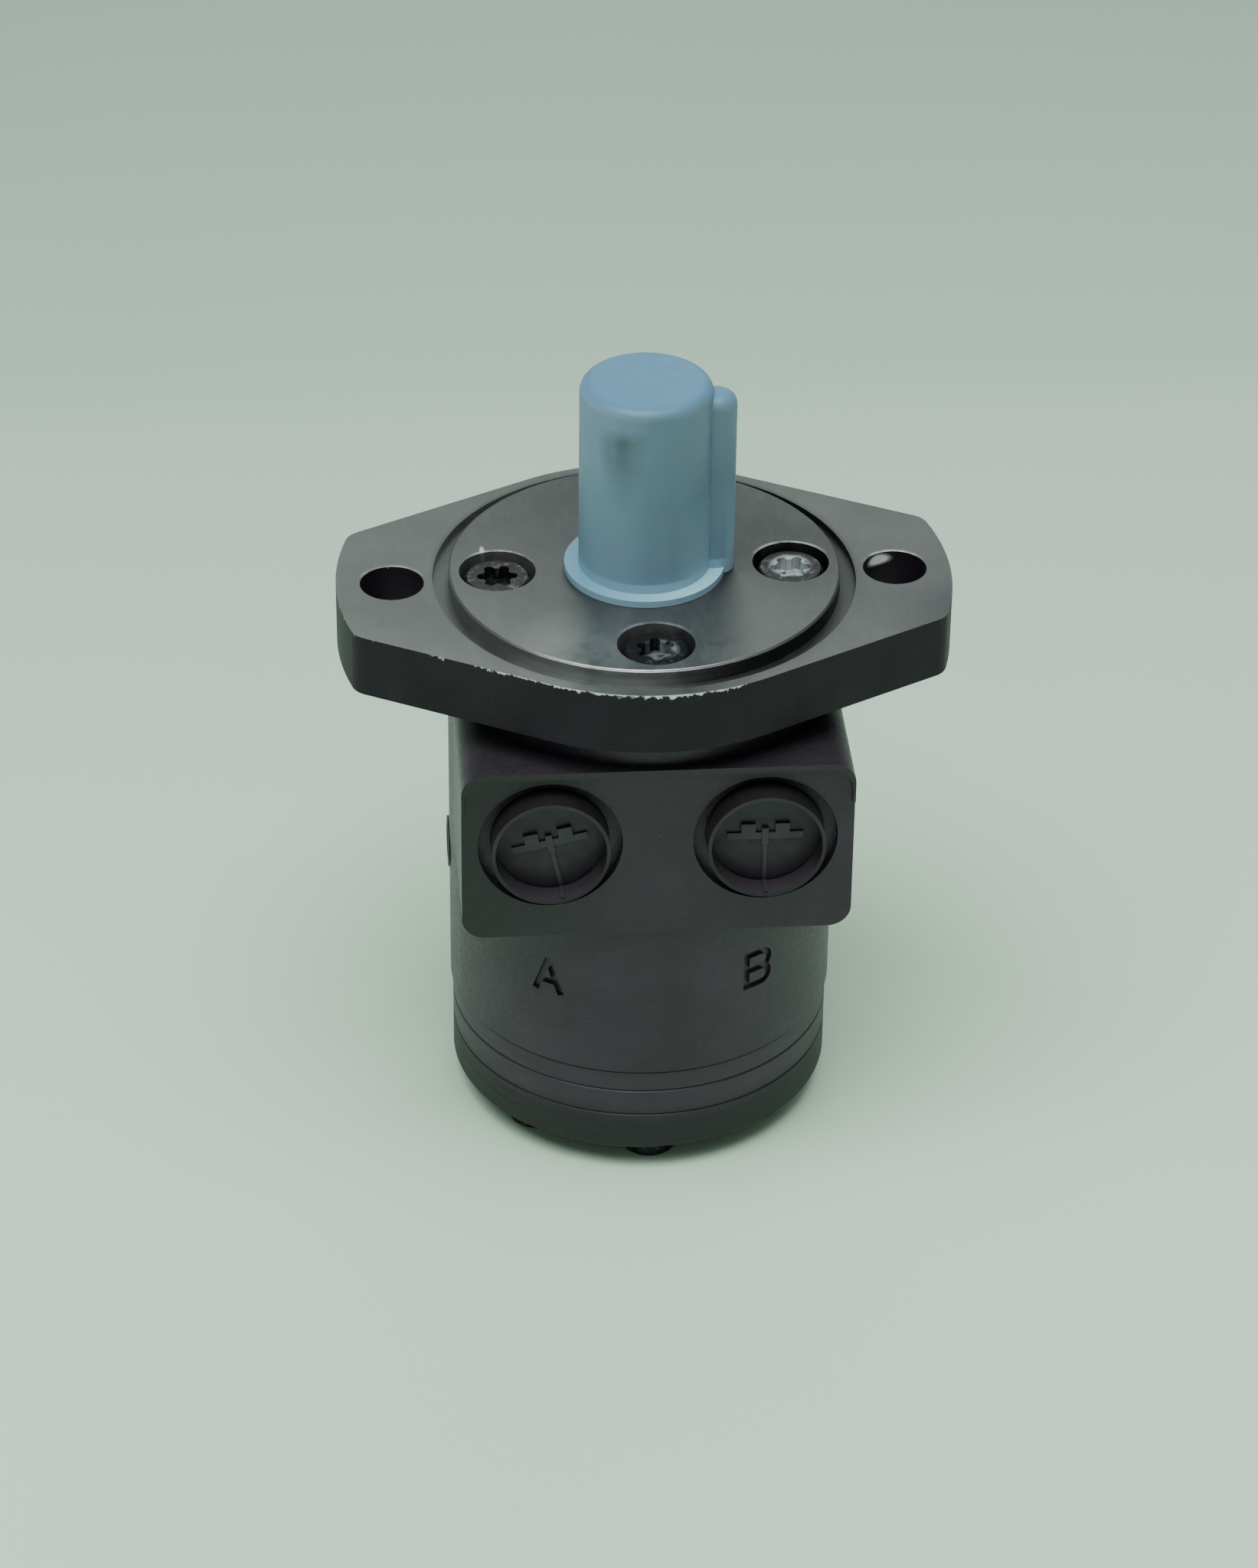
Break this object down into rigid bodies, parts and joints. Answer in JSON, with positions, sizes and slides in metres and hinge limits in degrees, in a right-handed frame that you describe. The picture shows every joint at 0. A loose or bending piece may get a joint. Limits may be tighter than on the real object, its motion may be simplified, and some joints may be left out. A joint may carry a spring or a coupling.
{
  "type": "hydraulic motor",
  "caption": "Orbital hydraulic motor with a two-bolt pilot flange, round body, flat face with two plugged ports and a keyed shaft under a pull-off plastic cap.",
  "frame": {"origin": "shaft axis at the flange's mounting face, midway between the two mounting holes", "axes": "+Z out along the shaft, +X along the line of the two mounting holes, -Y out of the ports' face"},
  "size_m": [0.13, 0.0946, 0.1732],
  "materials": {
    "painted_body": "black paint over cast iron, satin",
    "machined_flange": "bare machined iron",
    "painted_plates": "black paint, satin",
    "steel": "ground steel",
    "black_steel": "black oxide steel",
    "rubber": "nitrile rubber",
    "black_plastic": "moulded black polyethylene",
    "blue_plastic": "moulded light blue polyethylene",
    "copper": "copper"
  },
  "bodies": {
    "casing": {"mounting_flange": "machined_flange", "flange_screws": "black_steel", "dust_seal": "rubber", "backup_washer": "steel", "shaft_seal": "rubber", "thrust_race_upper": "steel", "housing": "painted_body", "side_plug": "black_steel", "flange_seal": "rubber", "housing_seal": "rubber", "ring_seal": "rubber", "end_cap_seal": "rubber", "spacer_plate": "painted_plates", "gerotor_ring": "painted_plates", "end_cap": "painted_plates", "seal_washers": "copper", "end_cap_screws": "black_steel"},
    "shaft": {"output_shaft": "steel", "shaft_key": "steel", "thrust_race_lower": "steel"},
    "needle_cage": {"thrust_cage": "steel", "thrust_needles": "steel"},
    "orbit_disc": {"drive_spacer": "steel"},
    "star": {"gerotor_star": "steel"},
    "drive": {"drive_shaft": "steel"},
    "cap": {"shaft_cap": "blue_plastic"},
    "plug_a": {"port_plug_a": "black_plastic"},
    "plug_b": {"port_plug_b": "black_plastic"}
  },
  "joints": [
    {"name": "shaft_spin", "type": "hinge", "parent": "casing", "child": "shaft", "pos_m": [0, 0, 0], "axis": [0, 0, 1], "continuous": true},
    {"name": "needle_roll", "type": "hinge", "parent": "casing", "child": "needle_cage", "pos_m": [0, 0, -0.0148], "axis": [0, 0, 1], "continuous": true},
    {"name": "orbit", "type": "hinge", "parent": "casing", "child": "orbit_disc", "pos_m": [0, 0, -0.108], "axis": [0, 0, 1], "continuous": true},
    {"name": "star_spin", "type": "hinge", "parent": "orbit_disc", "child": "star", "pos_m": [0, -0.0024, -0.10805], "axis": [0, 0, 1], "continuous": true},
    {"name": "drive_spin", "type": "hinge", "parent": "orbit_disc", "child": "drive", "pos_m": [0, -0.0024, -0.10805], "axis": [0, 0.036, 0.9994], "continuous": true},
    {"name": "cap_pull", "type": "slide", "parent": "shaft", "child": "cap", "axis": [0, 0, 1], "range_m": [0, 0.06]},
    {"name": "plug_a_pull", "type": "slide", "parent": "casing", "child": "plug_a", "axis": [0, -1, 0], "range_m": [0, 0.03]},
    {"name": "plug_b_pull", "type": "slide", "parent": "casing", "child": "plug_b", "axis": [0, -1, 0], "range_m": [0, 0.03]}
  ],
  "couplings": [
    {"joint": "needle_roll", "follows": "shaft_spin", "ratio": 0.5},
    {"joint": "orbit", "follows": "shaft_spin", "ratio": -6},
    {"joint": "star_spin", "follows": "shaft_spin", "ratio": 7},
    {"joint": "drive_spin", "follows": "shaft_spin", "ratio": 7}
  ]
}
